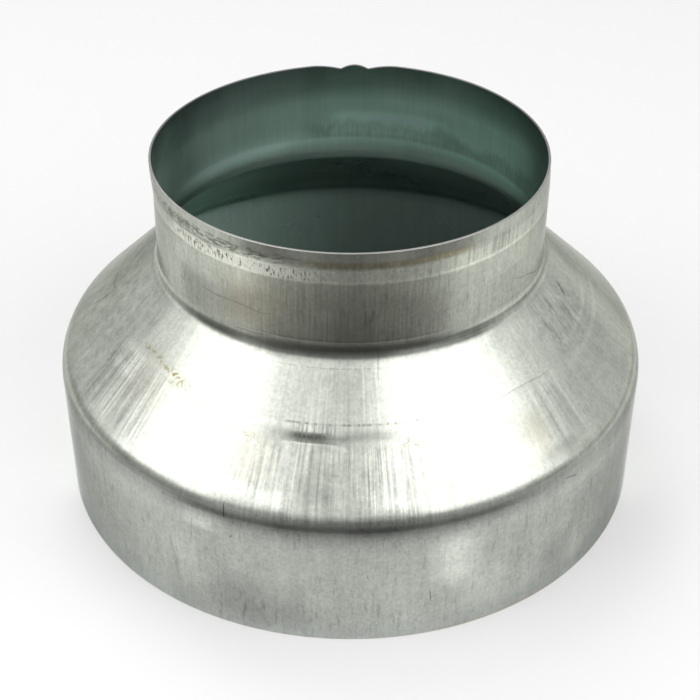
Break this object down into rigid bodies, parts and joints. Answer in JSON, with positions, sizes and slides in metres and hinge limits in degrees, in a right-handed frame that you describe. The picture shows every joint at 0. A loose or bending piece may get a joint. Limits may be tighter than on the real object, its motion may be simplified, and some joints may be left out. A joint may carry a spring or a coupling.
{
  "type": "duct reducer",
  "caption": "Round sheet-metal duct reducer: a wide collar that slides over a duct, a cone, and a narrow collar that slips into a smaller duct.",
  "frame": {"origin": "centre of the foot, on the surface that the wide collar stands on", "axes": "+Z along the duct's axis, from the wide collar to the narrow one; the ear in the rim is on the +Y side"},
  "size_m": [0.1526, 0.1526, 0.0917],
  "materials": {
    "galvanised_sheet": "satin zinc coating with drawing marks"
  },
  "bodies": {
    "root": {"reducer_shell": "galvanised_sheet"}
  },
  "joints": []
}
